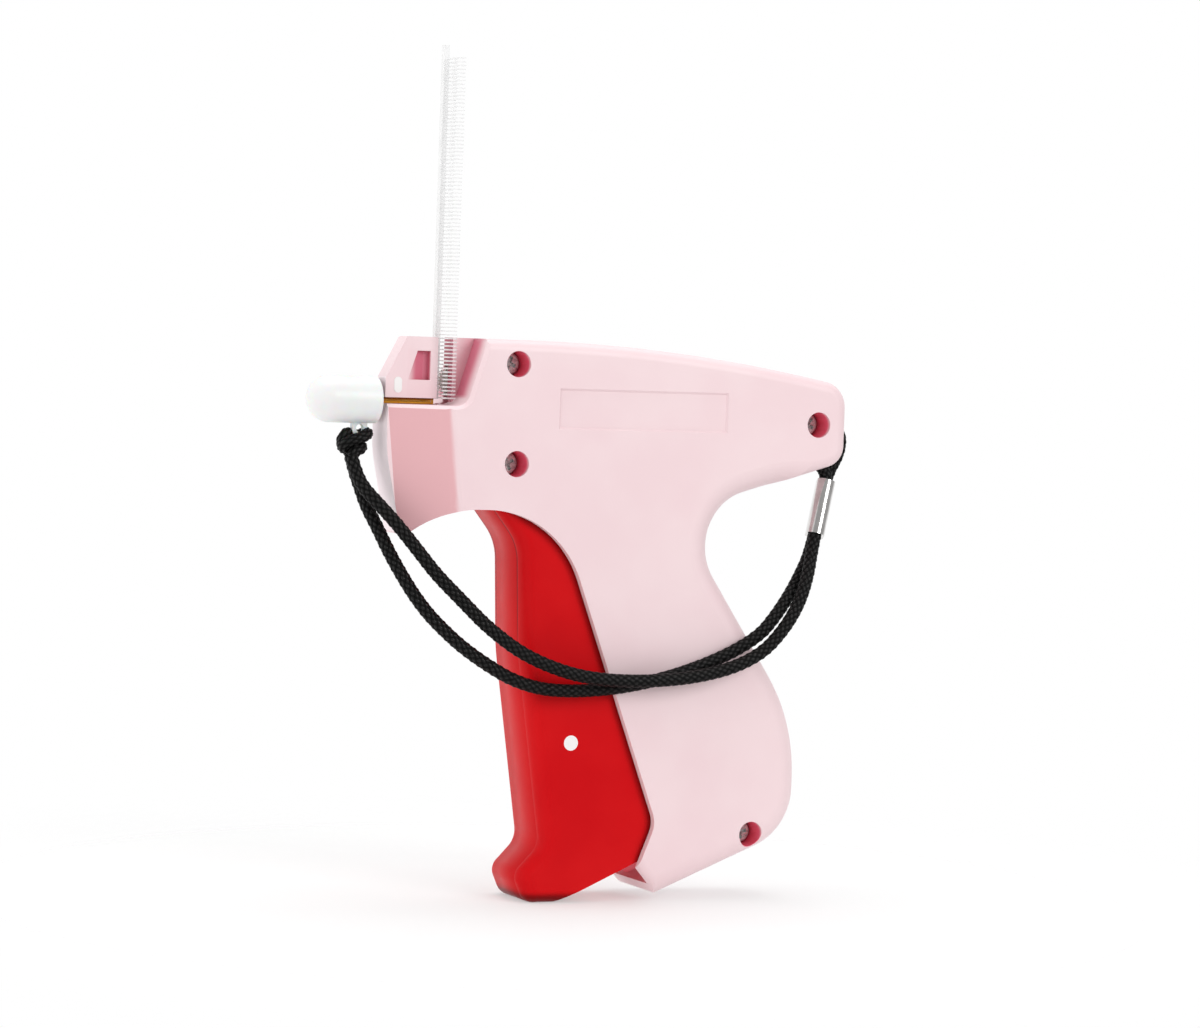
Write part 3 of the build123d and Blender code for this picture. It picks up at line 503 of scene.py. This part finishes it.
for number, ((station, height), turn) in enumerate(zip(SCREW_SEATS, CROSS_TURNS)):
    seated = screw.copy()
    seated.data = screw.data.copy()
    seated.name = f"casing_screw_{number + 1}"
    seated.data.transform(
        Matrix.Translation((NOSE_X + station, 0, height)) @ Matrix.Rotation(math.radians(turn), 4, "Y")
    )
    bpy.context.scene.collection.objects.link(seated)
    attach(seated, "housing")
    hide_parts("casing_screws")
bpy.data.objects.remove(screw)

# Fastener clip: a comb of fine clear nylon fasteners on one rail, moulded in one shot. It stands
# loose in the slot behind the nose block, where the feed wheel draws it down.
NYLON = (0.86, 0.86, 0.86)
NYLON_CLOUD = (0.82, 0.82, 0.82)

# The faint white emission is a painted glow, standing in for light scattered inside the nylon.
clip_material, shader, place = finish_named(
    "clear_nylon", IOR=1.3, Alpha=0.5, Emission_Color=(1, 1, 1, 1), Emission_Strength=0.04
)
feed(
    shader,
    Base_Color=place.clouds(NYLON, NYLON_CLOUD, scale=300.0),
    Roughness=place.noise(scale=500.0).spread(0.2, 0.4),
)
dress("fastener_clip", clip_material)

# Needle cap: soft milky plastic, a little see-through, moulded with a domed end and an eyed tab. It
# is pushed over the needle, and the cord is tied through its tab.
MILKY = (0.83, 0.835, 0.83)
MILKY_CLOUD = (0.80, 0.805, 0.80)

cap_material, shader, place = finish_named(
    "milky_cap", IOR=1.45, Subsurface_Weight=0.4, Subsurface_Scale=0.002
)
feed(
    shader,
    Base_Color=place.clouds(MILKY, MILKY_CLOUD, scale=120.0),
    Roughness=place.noise(scale=300.0).spread(0.25, 0.45),
)
dress("needle_cap", cap_material)

# Ferrule: a short sleeve of bright polished metal, slipped over the doubled cord and crimped flat,
# so that it holds the loop at the barrel's rear corner.
BRIGHT = (0.74, 0.72, 0.71)
BRIGHT_DULL = (0.66, 0.64, 0.63)

ferrule_material, shader, place = finish_named("bright_sleeve", Metallic=1.0)
feed(
    shader,
    Base_Color=place.clouds(BRIGHT, BRIGHT_DULL, scale=400.0),
    Roughness=place.noise(scale=600.0).spread(0.1, 0.2),
)
dress("ferrule", ferrule_material)

# Wrist cord's loop: black polyester, plaited round in two sets of strands. It comes out of the sleeve,
# goes through the two holes in the barrel's rear corner and back into the sleeve.
CORD_BLACK = (0.0008, 0.0008, 0.0008)
CREST_LIGHT = (0.0075, 0.0072, 0.0068)
CREST_EDGES = (0.15, 0.95)
SHEEN_EDGES = (0.45, 1.0)
SHEEN_MOST = 0.9
CORD_RADIUS = 0.00145
PLAIT_COUNT = 7
PLAIT_PITCH = 0.0019
PLAIT_HEIGHT = 0.00034
PLAIT_SUNK = 0.75
STRAND_FLATNESS = 0.7
STRAND_ARCH = 0.45
RING_SIDES = 42
LOOP_STEPS = 22
MILLIMETRE = 0.001
SLEEVE_FOOT = Vector((105.4, -5.0, 82.7))
SLEEVE_AXIS = Vector((3.4, 2.0, 12.3)).normalized()
SLEEVE_WIDE = Vector((0.407, 0.914, 0.0))
SLEEVE_SIDE = (SLEEVE_WIDE - SLEEVE_AXIS * SLEEVE_WIDE.dot(SLEEVE_AXIS)).normalized()
SLEEVE_LENGTH = 12.9
CORD_OFFSET = 1.5


def in_sleeve(side, along):
    """A point on one of the two cords in line with the sleeve, in millimetres behind the nose."""
    return tuple(SLEEVE_FOOT + SLEEVE_SIDE * side * CORD_OFFSET + SLEEVE_AXIS * along)


LOOP_ROUTE = [
    in_sleeve(1, SLEEVE_LENGTH - 3.0), in_sleeve(1, SLEEVE_LENGTH + 2.2), (112.3, -2.0, 101.2),
    (112.6, -2.4, 105.4), (110.9, -2.6, 107.1), (108.5, -2.7, 107.1), (106.8, -2.8, 105.4),
    (106.4, -3.1, 102.6), (106.3, -3.6, 99.2), in_sleeve(-1, SLEEVE_LENGTH + 1.5),
    in_sleeve(-1, SLEEVE_LENGTH - 3.0),
]


def smooth_line(route, steps):
    """Points of the smooth line that a route's points steer, in metres."""
    line = bpy.data.curves.new("route", "CURVE")
    line.dimensions = "3D"
    line.resolution_u = steps
    spline = line.splines.new("NURBS")
    spline.points.add(len(route) - 1)
    for point, (station, side, height) in zip(spline.points, route):
        point.co = (NOSE_X + station * MILLIMETRE, side * MILLIMETRE, height * MILLIMETRE, 1.0)
    spline.order_u = 3
    spline.use_endpoint_u = True
    holder = bpy.data.objects.new("route", line)
    bpy.context.scene.collection.objects.link(holder)
    mesh = bpy.data.meshes.new_from_object(holder)
    points = [vertex.co.copy() for vertex in mesh.vertices]
    bpy.data.objects.remove(holder)
    bpy.data.curves.remove(line)
    bpy.data.meshes.remove(mesh)
    return points


def plait_height(turn, run):
    """Height of the plait's surface, 0 to 1, at an angle round the cord and a distance along it."""
    one = PLAIT_COUNT * turn / (2 * math.pi) + run / PLAIT_PITCH
    other = PLAIT_COUNT * turn / (2 * math.pi) - run / PLAIT_PITCH
    wide, long = one % 1.0, other % 1.0
    if (math.floor(one) + math.floor(other)) % 2:
        wide, long = long, wide
    arch = 1.0 - STRAND_ARCH + STRAND_ARCH * math.sin(math.pi * long)
    return math.sin(math.pi * wide) ** STRAND_FLATNESS * arch


def plaited(name, points, radius):
    """A plaited cord along points, with the plait's height kept as an attribute."""
    lowest = radius - PLAIT_HEIGHT * PLAIT_SUNK
    ahead = (points[1] - points[0]).normalized()
    outward = ahead.orthogonal().normalized()
    run = 0.0
    corners, heights, faces = [], [], []
    for index, point in enumerate(points):
        before = points[max(index - 1, 0)]
        after = points[min(index + 1, len(points) - 1)]
        run += (point - before).length
        turned = (after - before).normalized()
        outward = ahead.rotation_difference(turned) @ outward
        ahead = turned
        outward = (outward - ahead * outward.dot(ahead)).normalized()
        sideways = ahead.cross(outward)
        for side in range(RING_SIDES):
            turn = 2 * math.pi * side / RING_SIDES
            height = plait_height(turn, run)
            reach = lowest + PLAIT_HEIGHT * height
            corners.append(point + (outward * math.cos(turn) + sideways * math.sin(turn)) * reach)
            heights.append(height)
    for ring in range(len(points) - 1):
        for side in range(RING_SIDES):
            near, far = ring * RING_SIDES, (ring + 1) * RING_SIDES
            beside = (side + 1) % RING_SIDES
            faces.append((near + side, near + beside, far + beside, far + side))
    last = (len(points) - 1) * RING_SIDES
    faces.append(tuple(reversed(range(RING_SIDES))))
    faces.append(tuple(range(last, last + RING_SIDES)))
    mesh = bpy.data.meshes.new(name)
    mesh.from_pydata(corners, [], faces)
    mesh.shade_smooth()
    mesh.attributes.new("plait", "FLOAT", "POINT").data.foreach_set("value", heights)
    mesh.materials.append(cord_material)
    made = bpy.data.objects.new(name, mesh)
    bpy.context.scene.collection.objects.link(made)
    return made


cord_material, shader, place = finish_named("black_plait", Specular_IOR_Level=0.12, Coat_Roughness=0.32)
height = place.node("ShaderNodeAttribute", {"attribute_name": "plait"}, None, out=2)
fibre = place.noise(scale=5200.0)
# Crests painted lighter than the gaps between strands: painted highlight on the crests, painted shade in the
# gaps.
painted_crest_light = height.ease(*CREST_EDGES) * fibre.spread(0.7, 1.3)
feed(
    shader,
    Base_Color=painted_crest_light.mix(CORD_BLACK, CREST_LIGHT),
    Roughness=fibre.spread(0.5, 0.8),
    Coat_Weight=height.ease(*SHEEN_EDGES) * (fibre * SHEEN_MOST),
    Normal=fibre.bump(strength=0.3, distance=0.0001),
)
line = smooth_line(LOOP_ROUTE, LOOP_STEPS)
cord_loop = plaited("cord_loop_plait", line, CORD_RADIUS)
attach(cord_loop, "housing")
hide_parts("cord_loop")

# Knot: the wrist cord's end, drawn thinner where it is pulled tight. It goes round the cap's tab,
# over itself and under, and the two hanging lengths come out of it at its foot.
KNOT_RADIUS = 0.0013
KNOT_STEPS = 14
KNOT_ROUTE = [
    (-6.2, 1.2, 98.4), (-6.8, 1.0, 99.9), (-8.6, 0.6, 101.0), (-8.7, 0.0, 102.3), (-7.6, 0.2, 103.7),
    (-6.5, 1.5, 103.2), (-4.7, 2.1, 102.8), (-3.3, 1.2, 103.6), (-3.0, -0.7, 103.7), (-4.1, -2.0, 103.1),
    (-6.2, -2.3, 102.4), (-8.2, -1.8, 101.6), (-8.9, -0.6, 100.6), (-7.8, 0.9, 100.1), (-5.5, 0.9, 100.2),
    (-4.2, -0.2, 100.9), (-4.9, -1.7, 100.3), (-6.6, -2.2, 99.6), (-7.3, -2.2, 98.5),
]

knot = plaited("knot_plait", smooth_line(KNOT_ROUTE, KNOT_STEPS), KNOT_RADIUS)
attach(knot, "cap")
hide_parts("cord_knot")

# The two hanging lengths: each leaves the sleeve, sweeps round beside the grip and ends in the knot.
STRAND_STEPS = 40
FRONT_ROUTE = [
    (-7.3, -2.2, 98.6), (-6.6, -2.9, 95.6), (-5.3, -4.6, 92.0), (-2.4, -7.2, 88.4), (1.2, -9.8, 84.0),
    (5.1, -12.4, 78.6), (8.9, -14.2, 73.5), (14.1, -15.4, 68.4), (21.0, -16.3, 61.7), (30.8, -16.5, 55.2),
    (44.7, -16.6, 50.7), (62.5, -16.6, 50.2), (77.3, -16.4, 52.2), (87.5, -15.7, 56.1), (93.6, -14.9, 61.9),
    (98.1, -13.2, 67.8), (101.2, -10.8, 74.0), in_sleeve(-1, -3.5), in_sleeve(-1, 4.0),
]
BACK_ROUTE = [
    (-6.2, 1.2, 98.5), (-5.5, 0.6, 95.4), (-4.5, -0.6, 91.8), (-3.5, -2.6, 87.5), (-1.8, -5.0, 83.3),
    (0.0, -7.6, 78.2), (2.4, -9.9, 73.1), (5.4, -11.6, 68.0), (9.4, -12.8, 63.1), (17.6, -13.4, 56.1),
    (31.0, -13.4, 48.6), (45.9, -13.4, 47.6), (63.1, -13.4, 50.0), (78.3, -13.3, 54.9), (88.1, -12.9, 60.0),
    (92.4, -11.9, 64.2), (96.8, -9.8, 68.8), (100.8, -7.2, 73.4), in_sleeve(1, -3.5), in_sleeve(1, 4.0),
]

for name, route, node in (
    ("cord_front_plait", FRONT_ROUTE, "cord_front_strand"),
    ("cord_back_plait", BACK_ROUTE, "cord_back_strand"),
):
    line = smooth_line(route[::-1], STRAND_STEPS)
    strand = plaited(name, line, CORD_RADIUS)
    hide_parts(node)
    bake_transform(strand)
    [knot] if node == "cord_front_strand" else []
